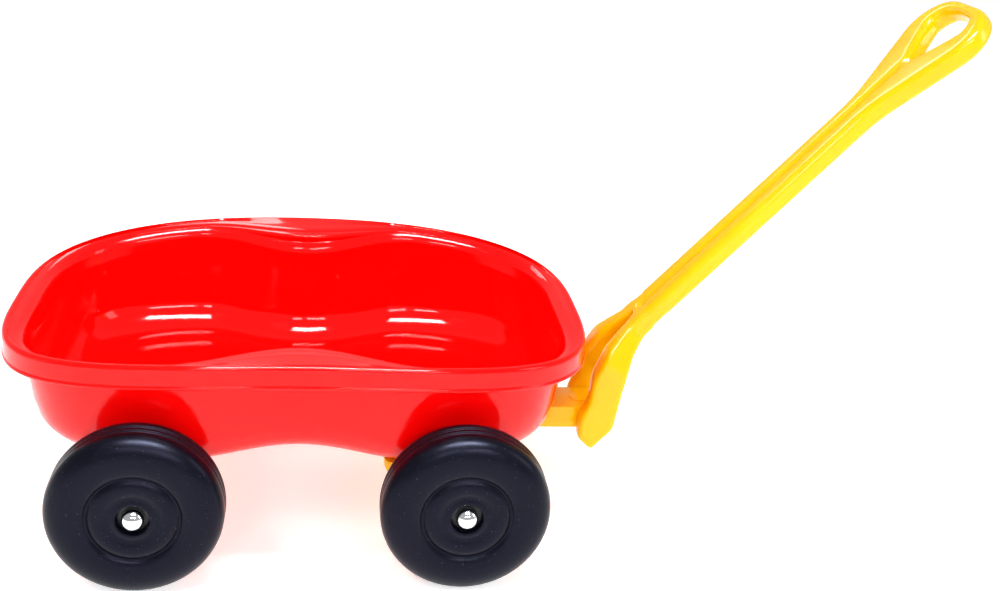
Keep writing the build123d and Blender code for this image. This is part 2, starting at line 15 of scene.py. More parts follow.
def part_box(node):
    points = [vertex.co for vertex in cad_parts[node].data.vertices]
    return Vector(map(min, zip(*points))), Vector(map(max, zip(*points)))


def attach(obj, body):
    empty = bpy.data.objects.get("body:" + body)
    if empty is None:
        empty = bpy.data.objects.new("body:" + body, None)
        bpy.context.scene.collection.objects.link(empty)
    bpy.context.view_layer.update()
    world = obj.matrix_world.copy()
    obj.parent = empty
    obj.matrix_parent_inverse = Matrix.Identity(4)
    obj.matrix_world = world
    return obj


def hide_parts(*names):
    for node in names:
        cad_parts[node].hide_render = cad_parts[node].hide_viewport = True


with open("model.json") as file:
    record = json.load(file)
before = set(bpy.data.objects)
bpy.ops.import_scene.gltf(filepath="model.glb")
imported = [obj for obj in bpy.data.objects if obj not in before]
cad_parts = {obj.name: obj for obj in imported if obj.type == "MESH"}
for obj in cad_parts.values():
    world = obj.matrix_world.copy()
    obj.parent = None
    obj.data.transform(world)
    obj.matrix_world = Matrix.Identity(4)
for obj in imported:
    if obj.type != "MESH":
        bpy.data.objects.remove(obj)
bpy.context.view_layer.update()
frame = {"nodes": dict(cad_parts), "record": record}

MM = 0.001
nodes = frame["nodes"]
body_of_node = {}
for body, members in frame["record"]["behaviour"]["bodies"].items():
    for node in members:
        body_of_node[node] = body


# %% [markdown]
# ## Small helpers
# Blender's operators work on whatever is selected and active, so each piece starts by clearing the
# selection. A finished piece then rides on a CAD body, hides the plain CAD part and gets its material.


# %% Helpers: selection and handing over a piece
def clear_selection():
    """Nothing stays selected: an operator would act on it as well."""
    for thing in bpy.context.selected_objects:
        thing.select_set(False)


def make_active(piece):
    """Only this piece is selected, and it is the one edit mode opens."""
    clear_selection()
    piece.select_set(True)
    bpy.context.view_layer.objects.active = piece


def apply_modifiers(piece):
    """Turns each modifier's result into the piece's own mesh."""
    make_active(piece)
    for modifier in list(piece.modifiers):
        bpy.ops.object.modifier_apply(modifier=modifier.name)


def hand_over(piece, node, material):
    """The piece takes the CAD node's place: its body and its material."""
    piece.data.materials.clear()
    piece.data.materials.append(material)
    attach(piece, body_of_node[node])
    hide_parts(node)
    print(piece.name, "has", len(piece.data.polygons), "faces and rides on", body_of_node[node])


clear_selection()

# %% [markdown]
# ## Finishes
# All finishes are made of nodes, with no pictures. Each one starts from the Principled shader and gets
# what the real surface shows: a slight drift of colour, gloss that is not quite even, and a fine relief.
# The patterns read Object coordinates, so they stay on the part when it moves.


# %% A helper for node materials
NOISE_LOW, NOISE_HIGH = 0.3, 0.7  # nearly all values of a noise texture lie between these


class Finish:
    """A Principled material with short ways to add noise-driven colour, roughness and relief."""

    def __init__(self, name, **sockets):
        self.material = bpy.data.materials.new(name)
        self.material.use_nodes = True
        self.nodes = self.material.node_tree.nodes
        self.links = self.material.node_tree.links
        self.shader = self.nodes["Principled BSDF"]
        for socket, value in sockets.items():
            self.shader.inputs[socket.replace("_", " ")].default_value = value
        self.place = self.nodes.new("ShaderNodeTexCoord").outputs["Object"]

    def noise(self, scale, detail=3.0, roughness=0.5, stretch=None):
        """A noise value; scale counts its blobs per metre, stretch squeezes the axes separately."""
        where = self.place
        if stretch:
            mapping = self.nodes.new("ShaderNodeMapping")
            mapping.inputs["Scale"].default_value = stretch
            self.links.new(where, mapping.inputs["Vector"])
            where = mapping.outputs["Vector"]
        texture = self.nodes.new("ShaderNodeTexNoise")
        texture.inputs["Scale"].default_value = scale
        texture.inputs["Detail"].default_value = detail
        texture.inputs["Roughness"].default_value = roughness
        self.links.new(where, texture.inputs["Vector"])
        return texture.outputs["Fac"]

    def ramp(self, value, stops):
        """A colour read off a strip of stops, each (position, colour)."""
        node = self.nodes.new("ShaderNodeValToRGB")
        elements = node.color_ramp.elements
        while len(elements) < len(stops):
            elements.new(0.5)
        for element, (position, colour) in zip(elements, stops):
            element.position = position
            element.color = (*colour, 1.0)
        self.links.new(value, node.inputs["Fac"])
        return node.outputs["Color"]

    def drift(self, deep, bright, value):
        """A base colour that wanders between two shades."""
        self.drive("Base Color", self.ramp(value, [(NOISE_LOW, deep), (NOISE_HIGH, bright)]))

    def span(self, value, low, high):
        """The noise value stretched to run from low to high."""
        node = self.nodes.new("ShaderNodeMapRange")
        node.inputs["From Min"].default_value = NOISE_LOW
        node.inputs["From Max"].default_value = NOISE_HIGH
        node.inputs["To Min"].default_value = low
        node.inputs["To Max"].default_value = high
        self.links.new(value, node.inputs["Value"])
        return node.outputs["Result"]

    def drive(self, socket, value):
        """Plugs a value or colour into one of the shader's sockets."""
        self.links.new(value, self.shader.inputs[socket])

    def relief(self, layers):
        """Stacks bumps: each layer is (height value, strength, depth in metres)."""
        normal = None
        for height, strength, depth in layers:
            bump = self.nodes.new("ShaderNodeBump")
            bump.inputs["Strength"].default_value = strength
            bump.inputs["Distance"].default_value = depth
            self.links.new(height, bump.inputs["Height"])
            if normal:
                self.links.new(normal, bump.inputs["Normal"])
            normal = bump.outputs["Normal"]
        self.links.new(normal, self.shader.inputs["Normal"])


# %% [markdown]
# ### Red tub plastic
# Injection-moulded polypropylene: saturated red, mirror-like where the mould was polished, with a very
# shallow waviness that softens reflections and a few hair-fine handling scratches. A plain glossy red
# would look like glass, so two reliefs are added: a slow wave, and a fine noise squeezed along one
# axis, which draws it out into scratches.

# %% Red plastic
RED_DEEP, RED_BRIGHT = (0.86, 0.0005, 0.0004), (0.94, 0.0012, 0.0008)
red = Finish("red_plastic", IOR=1.49, Specular_IOR_Level=0.24)
red.drift(RED_DEEP, RED_BRIGHT, red.noise(scale=9.0, detail=2.0))
red.drive("Roughness", red.span(red.noise(scale=55.0, detail=4.0, roughness=0.6), low=0.05, high=0.11))
red_waves = red.noise(scale=26.0, detail=1.5)
red_scratches = red.noise(scale=420.0, detail=2.0, stretch=(1.0, 0.12, 1.0))
red.relief([(red_waves, 0.10, 0.6 * MM), (red_scratches, 0.06, 0.04 * MM)])

# %% [markdown]
# ### Yellow handle plastic
# The yellow parts are slightly translucent: light that enters comes out warmer, so shaded sides turn
# orange. Painting the shade on would only suit one light. A little subsurface scattering gives it in
# any light, with red travelling furthest.

# %% Yellow plastic
YELLOW_DEEP, YELLOW_BRIGHT = (0.85, 0.47, 0.0004), (0.90, 0.53, 0.0008)
SCATTER_BY_COLOUR = (1.0, 0.45, 0.05)  # red light travels furthest inside, blue hardly at all
yellow = Finish("yellow_plastic", IOR=1.49, Specular_IOR_Level=0.3,
                Subsurface_Weight=0.35, Subsurface_Scale=6 * MM, Subsurface_Radius=SCATTER_BY_COLOUR)
yellow.drift(YELLOW_DEEP, YELLOW_BRIGHT, yellow.noise(scale=14.0, detail=2.0))
yellow_gloss = yellow.noise(scale=80.0, detail=4.0, roughness=0.6)
yellow.drive("Roughness", yellow.span(yellow_gloss, low=0.10, high=0.19))
yellow_waves = yellow.noise(scale=45.0, detail=2.0)
yellow_grain = yellow.noise(scale=700.0, detail=2.0)
yellow.relief([(yellow_waves, 0.14, 0.6 * MM), (yellow_grain, 0.10, 0.05 * MM)])

# %% [markdown]
# ### Black wheel plastic
# The wheels are blow-moulded in a mould with a sand-blasted face, which leaves a fine even grain and a
# satin sheen. Sparse pale specks are the dust and tiny nicks that such a surface catches. Its sheen
# is tinted a little blue, which tells this black from the warmer one of the bush.

# %% Wheel plastic
WHEEL_DARK, WHEEL_WORN, WHEEL_SPECK = (0.0018, 0.0018, 0.0042), (0.0026, 0.0025, 0.0060), (0.05, 0.055, 0.08)
COOL_SHEEN = (0.62, 0.66, 1.0, 1.0)
wheel_black = Finish("wheel_plastic", IOR=1.5, Specular_IOR_Level=0.16, Specular_Tint=COOL_SHEEN)
specks = wheel_black.noise(scale=900.0, detail=1.0, roughness=0.4)
speck_stops = [(0.0, WHEEL_DARK), (0.72, WHEEL_WORN), (0.82, WHEEL_SPECK)]
wheel_black.drive("Base Color", wheel_black.ramp(specks, speck_stops))
satin = wheel_black.noise(scale=120.0, detail=4.0, roughness=0.6)
wheel_black.drive("Roughness", wheel_black.span(satin, low=0.27, high=0.36))
wheel_grain = wheel_black.noise(scale=1500.0, detail=2.0, roughness=0.6)
wheel_waves = wheel_black.noise(scale=60.0, detail=2.0)
wheel_black.relief([(wheel_grain, 0.32, 0.1 * MM), (wheel_waves, 0.10, 0.5 * MM)])

# %% [markdown]
# ### Small parts
# The bush is a plainer, warmer black. The washers are milky nylon. Axles, pin and screws are drawn
# steel, whose streaks run along the rod, and the axle caps are bright chrome with faint smudges. Each
# is seen small, so a drift of colour, a drift of gloss and one fine relief are enough.

# %% Bush and washer plastic
BUSH_DARK, BUSH_WORN = (0.006, 0.006, 0.007), (0.012, 0.012, 0.013)
bush_black = Finish("bush_plastic", IOR=1.5)
bush_black.drift(BUSH_DARK, BUSH_WORN, bush_black.noise(scale=300.0))
bush_black.drive("Roughness", bush_black.span(bush_black.noise(scale=400.0), low=0.42, high=0.56))
bush_black.relief([(bush_black.noise(scale=1200.0), 0.15, 0.05 * MM)])

NYLON_CREAM, NYLON_MILKY = (0.70, 0.68, 0.62), (0.78, 0.77, 0.72)
nylon = Finish("washer_plastic", IOR=1.53, Subsurface_Weight=0.3, Subsurface_Scale=2 * MM)
nylon.drift(NYLON_CREAM, NYLON_MILKY, nylon.noise(scale=220.0))
nylon.drive("Roughness", nylon.span(nylon.noise(scale=300.0), low=0.38, high=0.5))
nylon.relief([(nylon.noise(scale=900.0), 0.12, 0.05 * MM)])

# %% Steel and chrome
STEEL_DULL, STEEL_BRIGHT = (0.52, 0.53, 0.54), (0.64, 0.65, 0.66)
ALONG_THE_ROD = (1.0, 0.05, 1.0)  # squeezing Y draws the noise out into streaks along the axle
steel = Finish("steel", Metallic=1.0)
steel.drift(STEEL_DULL, STEEL_BRIGHT, steel.noise(scale=90.0))
steel.drive("Roughness", steel.span(steel.noise(scale=500.0, stretch=ALONG_THE_ROD), low=0.22, high=0.36))
steel.relief([(steel.noise(scale=900.0, detail=2.0, stretch=(1.0, 0.04, 1.0)), 0.10, 0.03 * MM)])

CHROME_SMUDGED, CHROME_CLEAN = (0.80, 0.81, 0.83), (0.90, 0.91, 0.92)
chrome = Finish("chrome", Metallic=1.0)
chrome.drift(CHROME_SMUDGED, CHROME_CLEAN, chrome.noise(scale=150.0))
smudges = chrome.noise(scale=260.0, detail=4.0, roughness=0.6)
chrome.drive("Roughness", chrome.span(smudges, low=0.03, high=0.09))
chrome.relief([(chrome.noise(scale=180.0, detail=2.0), 0.05, 0.08 * MM)])
print("finishes:", [material.name for material in bpy.data.materials])

# %% [markdown]
# ## Building skins from rings
# The tub, the wheels and the caps are all stacks of closed rings. By hand one would add a filled circle
# and then extrude its face again and again, reshaping the new ring each time. This helper does just
# that: every extrude is followed by putting the new ring's corners where they belong.


# %% Helper: a skin through rings
def set_selected_ring(mesh, points):
    """Puts the corners of the one selected face where the points are."""
    shape = bmesh.from_edit_mesh(mesh)
    face = next(f for f in shape.faces if f.select)
    for corner, point in zip(face.verts, points):
        corner.co = point
    bmesh.update_edit_mesh(mesh)


def ring_stack(name, rings):
    """A closed skin through rings of points, its first and last ring filled with a face."""
    clear_selection()
    bpy.ops.mesh.primitive_circle_add(vertices=len(rings[0]), radius=10 * MM, fill_type="NGON",
                                      location=(0, 0, 0))
    piece = bpy.context.object
    piece.name = name
    bpy.ops.object.mode_set(mode="EDIT")
    bpy.ops.mesh.select_mode(type="FACE")
    bpy.ops.mesh.select_all(action="SELECT")
    set_selected_ring(piece.data, rings[0])
    for ring in rings[1:]:
        bpy.ops.mesh.extrude_region_move()
        set_selected_ring(piece.data, ring)
    bpy.ops.mesh.select_all(action="SELECT")
    bpy.ops.mesh.normals_make_consistent(inside=False)
    bpy.ops.object.mode_set(mode="OBJECT")
    bpy.ops.object.shade_smooth()
    return piece


# %% [markdown]
# ## The tub
# One moulding: a bowl with rounded lower edges, drawn in at its waist, whose wall rolls over a generous
# lip into a flat rim and ends in a turned-down skirt. The rim's line arches gently, highest at
# mid-length. A sculpted cube would never give such even reflections, so the skin is built from rings
# that follow two formulas: a superellipse for the outlines and a smooth bell for the waist.

# %% Tub sizes, from the frame
tub_low, tub_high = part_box("tub")
mid_x = (tub_low.x + tub_high.x) / 2
rim_half_length = (tub_high.x - tub_low.x) / 2
rim_half_width = (tub_high.y - tub_low.y) / 2
floor_top = frame["record"]["mounts"][0]["pos_m"][2]
TUB_WALL = 3.0 * MM
base_z = floor_top - TUB_WALL
RIM_POWER, BOWL_POWER = 3.07, 3.6
RIM_ARCH, RIM_PLATE = 14.0 * MM, 3.0 * MM
SKIRT_HEIGHT, SKIRT_WALL = 14.5 * MM, 2.6 * MM
BOWL_INSET_END, BOWL_INSET_SIDE = 13.0 * MM, 11.0 * MM
WALL_LEAN, BASE_ROUND = 8.0 * MM, 24.0 * MM
WAIST_DEPTH, WAIST_REACH = 21.5 * MM, 78.0 * MM
LIP_ROUND, LIP_ROUND_WAIST = 9.5 * MM, 8.0 * MM
RIM_SLOPE = 1.6 * MM
EDGE_ROUND, GUTTER_ROUND, SKIRT_EDGE = 2.6 * MM, 1.2 * MM, 0.9 * MM
BEAD_STEP = 0.55 * MM  # how far the bead along the skirt's foot stands out
SEGMENTS = 176         # corners in each ring
arch_reach = rim_half_length + 10 * MM
arch_sag = RIM_ARCH * (arch_reach / rim_half_length) ** 2
arch_radius = (arch_reach ** 2 + arch_sag ** 2) / (2 * arch_sag)
print("tub", round(2 * rim_half_length, 4), "by", round(2 * rim_half_width, 4), "m, floor at", floor_top)


# %% Tub outlines
def bell(x):
    """1 at mid-length, falling smoothly to 0 at the waist's ends."""
    return 0.0 if abs(x) >= WAIST_REACH else math.cos(math.pi / 2 * x / WAIST_REACH) ** 2


def superellipse(angle, half_length, half_width, power):
    """A point on an ellipse whose corners fill out as power grows beyond 2."""
    c, s = math.cos(angle), math.sin(angle)
    reach = (abs(c) ** power + abs(s) ** power) ** (-1 / power)
    return half_length * reach * c, half_width * reach * s


def rim_top_z(x):
    """Height of the rim's arched top at x."""
    return tub_high.z - (arch_radius - math.sqrt(arch_radius ** 2 - x ** 2))


def bowl_xy(angle, inset, z):
    """A point on the bowl's outer wall at height z, moved inwards by inset."""
    shrink = inset + WALL_LEAN * (tub_high.z - z) / (tub_high.z - base_z)
    x, y = superellipse(angle, rim_half_length - BOWL_INSET_END - shrink,
                        rim_half_width - BOWL_INSET_SIDE - shrink, BOWL_POWER)
    if abs(math.sin(angle)) > 1e-9:
        y -= math.copysign(WAIST_DEPTH * bell(x), math.sin(angle))
    return x, y


def rim_xy(angle, inset):
    """A point on the rim's outline, moved inwards by inset."""
    return superellipse(angle, rim_half_length - inset, rim_half_width - inset, RIM_POWER)


def ring(place):
    """All corners of one ring; place gives (x, y, z) for an angle, about the tub's own middle."""
    corners = []
    for i in range(SEGMENTS):
        x, y, z = place(2 * math.pi * i / SEGMENTS)
        corners.append(Vector((x + mid_x, y, z)))
    return corners


# %% [markdown]
# The rings run from the middle of the underside outwards, up the outside of the bowl, along the gutter
# behind the skirt, around the skirt, over the rim and its lip, and down the inside to the floor.

# %% Quarter turns: every rounded edge of the section is one
def quarter(steps):
    """Angles from 0 to 90 degrees."""
    return [math.radians(90 * k / steps) for k in range(steps + 1)]


def falling(radius, turn):
    """From the full radius down to nothing over a quarter turn."""
    return radius * (1 - math.sin(turn))


def rising(radius, turn):
    """From nothing up to the full radius over a quarter turn."""
    return radius * (1 - math.cos(turn))


# %% Rings of the bowl and the skirt
def flat_ring(inset, z):
    """A ring on the flat base or floor, inset millimetres inside its rounded edge."""
    return ring(lambda a: (*bowl_xy(a, BASE_ROUND + inset * MM, z), z))


def bowl_ring(inset, z_low, rounding, turn):
    """A ring on the rounded lower edge; turn goes from 0 (flat base) to 90 degrees (upright wall)."""
    z = z_low + rising(rounding, turn)
    return ring(lambda a: (*bowl_xy(a, inset + falling(rounding, turn), z), z))


def hung_ring(inset_from_bowl, drop):
    """A ring beside the bowl's wall that hangs a given drop below the rim's top."""
    def place(a):
        x, y = bowl_xy(a, inset_from_bowl, tub_high.z - drop)
        return x, y, rim_top_z(x) - drop
    return ring(place)


def skirt_ring(inset, drop):
    """A ring on the skirt, inset from the rim's outline and a given drop below the rim's top."""
    def place(a):
        x, y = rim_xy(a, inset)
        return x, y, rim_top_z(x) - drop
    return ring(place)


# %% Rings of the rim, the lip and the inner wall
def lip_radius(x):
    """The lip's rounding, larger at the waist."""
    return LIP_ROUND + LIP_ROUND_WAIST * bell(x)


def rim_flat_ring(share):
    """A ring on the rim's flat, share of the way from the outer edge's rounding to the lip's start."""
    def place(a):
        outer = rim_xy(a, EDGE_ROUND + BEAD_STEP)
        inner = bowl_xy(a, TUB_WALL, tub_high.z)
        radius = lip_radius(inner[0])
        inner = bowl_xy(a, TUB_WALL - radius, tub_high.z)
        x = outer[0] + (inner[0] - outer[0]) * share
        y = outer[1] + (inner[1] - outer[1]) * share
        return x, y, rim_top_z(x) - RIM_SLOPE * share
    return ring(place)


def lip_ring(turn):
    """A ring on the rolled lip between the rim's flat and the inner wall."""
    def place(a):
        radius = lip_radius(bowl_xy(a, TUB_WALL, tub_high.z)[0])
        x, y = bowl_xy(a, TUB_WALL - falling(radius, turn), tub_high.z - radius)
        return x, y, rim_top_z(x) - RIM_SLOPE - rising(radius, turn)
    return ring(place)


def inner_wall_ring(share):
    """A ring on the inner wall, from just under the lip (0) to the floor's rounding (1)."""
    low = floor_top + BASE_ROUND - TUB_WALL

    def place(a):
        x = bowl_xy(a, TUB_WALL, tub_high.z)[0]
        top = rim_top_z(x) - RIM_SLOPE - lip_radius(x)
        z = top + (low - top) * share
        return (*bowl_xy(a, TUB_WALL, z), z)
    return ring(place)


# %% The rings in order: underside, outer wall and skirt
FLAT_INSETS = (56, 32, 12, 4)  # rings on the flat base, from the middle outwards
rings = [flat_ring(inset, base_z) for inset in FLAT_INSETS]
rings += [bowl_ring(0.0, base_z, BASE_ROUND, turn) for turn in quarter(8)]
rings += [hung_ring(0.0, drop * MM) for drop in (40, 28, 17, 10, 6)]
for turn in quarter(3):
    rings.append(hung_ring(-rising(GUTTER_ROUND, turn), RIM_PLATE + falling(GUTTER_ROUND, turn)))
for turn in quarter(3):
    rings.append(skirt_ring(SKIRT_WALL + falling(GUTTER_ROUND, turn), RIM_PLATE + rising(GUTTER_ROUND, turn)))
rings += [skirt_ring(SKIRT_WALL, drop * MM) for drop in (7, 11, 12.6)]
for turn in quarter(3):
    rings.append(skirt_ring(SKIRT_WALL - rising(SKIRT_EDGE, turn), SKIRT_HEIGHT - falling(SKIRT_EDGE, turn)))
for turn in quarter(3):
    rings.append(skirt_ring(falling(SKIRT_EDGE, turn), SKIRT_HEIGHT - rising(SKIRT_EDGE, turn)))
# the bead along the skirt's foot ends in a small step, above which the skirt's face is plain
rings += [skirt_ring(0.0, 12.9 * MM), skirt_ring(BEAD_STEP * 0.4, 12.5 * MM)]
rings += [skirt_ring(BEAD_STEP, drop * MM) for drop in (12.1, 11.4, 9.0, 6.0, 3.6)]
for turn in quarter(6):
    rings.append(skirt_ring(BEAD_STEP + rising(EDGE_ROUND, turn), falling(EDGE_ROUND, turn)))
print("rings up to the rim:", len(rings))

# %% The rings in order: rim, lip, inner wall and floor
rings += [rim_flat_ring(share) for share in (0.12, 0.3, 0.5, 0.7, 0.88)]
rings += [lip_ring(turn) for turn in quarter(8)]
rings += [inner_wall_ring(share) for share in (0.1, 0.25, 0.45, 0.65, 0.85)]
rings += [bowl_ring(TUB_WALL, floor_top, BASE_ROUND - TUB_WALL, turn) for turn in reversed(quarter(9))]
rings += [flat_ring(inset, floor_top) for inset in reversed(FLAT_INSETS)]
print("all the tub's rings:", len(rings))

# %% Tub skin
tub_shell = ring_stack("tub_shell", rings)

# %% [markdown]
# Under the floor stand five moulded posts: the one the truck turns on, and one for each screw of the
# rear axle's carrier. They are nearly out of sight, so plain round posts that reach a millimetre into
# the floor and are joined to the skin are enough. Their places come from the parts they hold.

# %% Posts under the floor
POST_RADIUS, BOSS_RADIUS, BOSS_LENGTH, SCREW_HEAD_RADIUS = 9.0 * MM, 5.0 * MM, 7.0 * MM, 5.0 * MM
POST_OVERLAP, POST_SIDES = 1 * MM, 40
post_top = base_z + POST_OVERLAP
kingpin_low, kingpin_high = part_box("kingpin_retainer")
kingpin_x = (kingpin_low.x + kingpin_high.x) / 2
carrier_low, carrier_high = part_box("carrier_screws")
posts = [(kingpin_x, 0.0, POST_RADIUS, kingpin_high.z)]
for x in (carrier_low.x + SCREW_HEAD_RADIUS, carrier_high.x - SCREW_HEAD_RADIUS):
    for y in (carrier_low.y + SCREW_HEAD_RADIUS, carrier_high.y - SCREW_HEAD_RADIUS):
        posts.append((x, y, BOSS_RADIUS, base_z - BOSS_LENGTH))
post_pieces = []
for x, y, radius, low in posts:
    clear_selection()
    bpy.ops.mesh.primitive_cylinder_add(vertices=POST_SIDES, radius=radius, depth=post_top - low,
                                        location=(x, y, (post_top + low) / 2))
    bpy.ops.object.shade_smooth_by_angle(angle=math.radians(40))
    post_pieces.append(bpy.context.object)
make_active(tub_shell)
for post in post_pieces:
    post.select_set(True)
bpy.ops.object.join()
hand_over(tub_shell, "tub", red.material)

# %% [markdown]
# ## The wheels
# Each wheel is a hollow plastic drum: a flat band outside, a round shoulder, a flat sidewall, a fine
# ring groove, a swelling towards the hub and a recess for the axle cap. By hand one would spin a half
# profile about the axle and merge the seam. A ring stack of circles gives the same round shape with no
# seam to close, and one mesh serves four times.

# %% Wheel profile: radius and distance from the mid-plane, in millimetres
SHOULDER_START = (34, 15.75)     # where the flat sidewall ends
SIDEWALL = [(9.5, 14.55), (9.7, 14.72), (10.9, 14.75), (12.2, 14.15), (14, 13.85), (16, 14.75),
            (18.5, 15.35), (20.8, 15.35), (23, 14.85), (24.6, 13.9), (25.2, 13.15), (25.9, 12.95),
            (26.6, 13.15), (27.2, 14.05), (27.9, 14.55), (30, 15.1), (32, 15.5), SHOULDER_START]
TREAD_RADIUS, TREAD_REACH = 50.0, 4.6
SHOULDER_FULLNESS = 2.25         # 2 gives a quarter of an ellipse, more a squarer shoulder
SHOULDER_STEPS = 16
GROOVES = (3.35, 1.55)           # fine lines round the tread, from the mid-plane
GROOVE_DEPTH, GROOVE_HALF, GROOVE_FLOOR_HALF = 0.7, 0.45, 0.12
MIDDLE_STEP = 0.6                # the last ring before the mid-plane
WHEEL_SEGMENTS = 128
wheel_low, wheel_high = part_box("front_left_wheel")
wheel_size = wheel_high - wheel_low
print("wheel diameter", round(wheel_size.x, 4), "width", round(wheel_size.y, 4))


def wheel_half():
    """Sidewall, then the round shoulder, out to the tread with its fine moulded lines."""
    profile = list(SIDEWALL)
    across = TREAD_RADIUS - SHOULDER_START[0]
    along = SHOULDER_START[1] - TREAD_REACH
    for turn in quarter(SHOULDER_STEPS)[1:]:
        out = math.sin(turn) ** (2 / SHOULDER_FULLNESS)
        back = max(math.cos(turn), 0.0) ** (2 / SHOULDER_FULLNESS)
        profile.append((SHOULDER_START[0] + across * out, TREAD_REACH + along * back))
    for groove in GROOVES:
        floor_radius = TREAD_RADIUS - GROOVE_DEPTH
        profile += [(TREAD_RADIUS, groove + GROOVE_HALF), (floor_radius, groove + GROOVE_FLOOR_HALF)]
        profile += [(floor_radius, groove - GROOVE_FLOOR_HALF), (TREAD_RADIUS, groove - GROOVE_HALF)]
    return profile + [(TREAD_RADIUS, MIDDLE_STEP)]


def axle_ring(radius, y):
    """A ring of corners about the Y axis, in millimetres from the wheel's own middle."""
    turns = [2 * math.pi * i / WHEEL_SEGMENTS for i in range(WHEEL_SEGMENTS)]
    return [Vector((radius * MM * math.cos(t), y * MM, radius * MM * math.sin(t))) for t in turns]


half_profile = wheel_half()
wheel_profile = [(radius, -y) for radius, y in half_profile] + half_profile[::-1]
print("wheel profile:", len(wheel_profile), "rings")

# %% [markdown]
# The stack of rings closes with a face at each end, across the bore. Those two faces go, and the open
# edges are bridged: that makes the bore the hub bush sits in. The other three wheels are copies, each
# with its own mesh, moved to its axle.

# %% The first wheel
model_wheel = ring_stack("front_left_tyre", [axle_ring(radius, y) for radius, y in wheel_profile])
make_active(model_wheel)
bpy.ops.object.mode_set(mode="EDIT")
bpy.ops.mesh.select_all(action="DESELECT")
shape = bmesh.from_edit_mesh(model_wheel.data)
for face in shape.faces:
    if len(face.verts) == WHEEL_SEGMENTS:
        face.select_set(True)
bmesh.update_edit_mesh(model_wheel.data)
bpy.ops.mesh.delete(type="ONLY_FACE")
bpy.ops.mesh.select_mode(type="EDGE")
bpy.ops.mesh.select_non_manifold()
bpy.ops.mesh.bridge_edge_loops()
bpy.ops.mesh.select_all(action="SELECT")
bpy.ops.mesh.normals_make_consistent(inside=False)
bpy.ops.object.mode_set(mode="OBJECT")
bpy.ops.object.shade_smooth()
print("first wheel:", len(model_wheel.data.polygons), "faces")

# %% Four wheels
tyres = {}
for corner in ("front_left", "front_right", "rear_left", "rear_right"):
    tyre = model_wheel
    if corner != "front_left":
        tyre = model_wheel.copy()
        tyre.data = model_wheel.data.copy()
        tyre.name = corner + "_tyre"
        bpy.context.collection.objects.link(tyre)
    tyres[corner] = tyre
for corner, tyre in tyres.items():
    low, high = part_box(corner + "_wheel")
    tyre.data.transform(Matrix.Translation((low + high) / 2))
    hand_over(tyre, corner + "_wheel", wheel_black.material)

# %% [markdown]
# ## Axle caps
# A cap is a short sleeve with a domed, slightly flattened end, pressed from thin chromed steel. A
# squashed sphere would have no sleeve, so it is the same kind of ring stack, here closed at the back
# too, because the axle fills it.

# %% Axle caps: radius and distance from the wheel's mid-plane, in millimetres
CAP_RADIUS, CAP_DOME, CAP_TIP = 6.4, 4.96, 18.5
CAP_SLEEVE = [(6.0, 10.62), (6.3, 10.8), (CAP_RADIUS, 11.2), (CAP_RADIUS, 12.6), (CAP_RADIUS, 13.5)]
DOME_DEGREES = (6, 14, 22, 30, 38, 46, 54, 62, 70, 77, 83, 87.5)
cap_profile = list(CAP_SLEEVE)
for turn in map(math.radians, DOME_DEGREES):
    cap_profile.append((CAP_RADIUS * math.cos(turn), CAP_TIP - CAP_DOME + CAP_DOME * math.sin(turn)))
for corner in tyres:
    low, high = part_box(corner + "_wheel")
    side = 1 if corner.endswith("left") else -1
    cap = ring_stack(corner + "_cap_shell", [axle_ring(radius, side * y) for radius, y in cap_profile])
    cap.data.transform(Matrix.Translation((low + high) / 2))
    hand_over(cap, corner + "_axle_cap", chrome.material)

# %% [markdown]
# ## The pull handle
# The handle is one blow-moulded piece: a fork that straddles the drawbar, twin bars with a groove
# between them, and a rounded triangular grip. Its CAD mesh has the right shape but long thin triangles
# and crisp creases. A subdivision surface would pull such triangles out of shape, so a copy of it is
# merged and rebuilt with a voxel remesh, which gives even quads. A smooth then melts the creases the
# way a blown skin would.


# %% Helper: a soft skin from a CAD mesh
def merged_copy(node, name):
    """The CAD node's mesh as a new piece at the origin, its split corners merged."""
    source = nodes[node]
    piece = source.copy()
    piece.data = source.data.copy()
    piece.name = name
    piece.modifiers.clear()
    bpy.context.collection.objects.link(piece)
    piece.data.transform(source.matrix_world)
    piece.parent = None
    piece.matrix_world = Matrix.Identity(4)
    piece.hide_render = False
    make_active(piece)
    bpy.ops.object.mode_set(mode="EDIT")
    bpy.ops.mesh.select_all(action="SELECT")
    bpy.ops.mesh.remove_doubles(threshold=0.02 * MM)
    bpy.ops.mesh.normals_make_consistent(inside=False)
    bpy.ops.object.mode_set(mode="OBJECT")
    return piece


def drop_inner_shells(piece):
    """Keeps only the tallest loose part: the hollow inside a moulding is never seen."""
    shape = bmesh.new()
    shape.from_mesh(piece.data)
    left, shells = set(shape.verts), []
    while left:
        front = [left.pop()]
        shell = list(front)
        while front:
            for edge in front.pop().link_edges:
                for corner in edge.verts:
                    if corner in left:
                        left.remove(corner)
                        front.append(corner)
                        shell.append(corner)
        shells.append(shell)
    shells.sort(key=lambda shell: max(v.co.z for v in shell) - min(v.co.z for v in shell))
    hidden = [corner for shell in shells[:-1] for corner in shell]
    bmesh.ops.delete(shape, geom=hidden, context="VERTS")
    shape.to_mesh(piece.data)
    shape.free()
    return len(shells)


def soften(piece, voxel, factor, repeats):
    """Rebuilds the skin in even quads, then relaxes them."""
    remesh = piece.modifiers.new("even_quads", "REMESH")
    remesh.mode = "VOXEL"
    remesh.voxel_size = voxel
    remesh.use_smooth_shade = True
    apply_modifiers(piece)
    bpy.ops.object.mode_set(mode="EDIT")
    bpy.ops.mesh.select_mode(type="VERT")
    bpy.ops.mesh.select_all(action="SELECT")
    bpy.ops.mesh.vertices_smooth(factor=factor, repeat=repeats)
    bpy.ops.object.mode_set(mode="OBJECT")
    print(piece.name, "rebuilt with", len(piece.data.polygons), "quads")


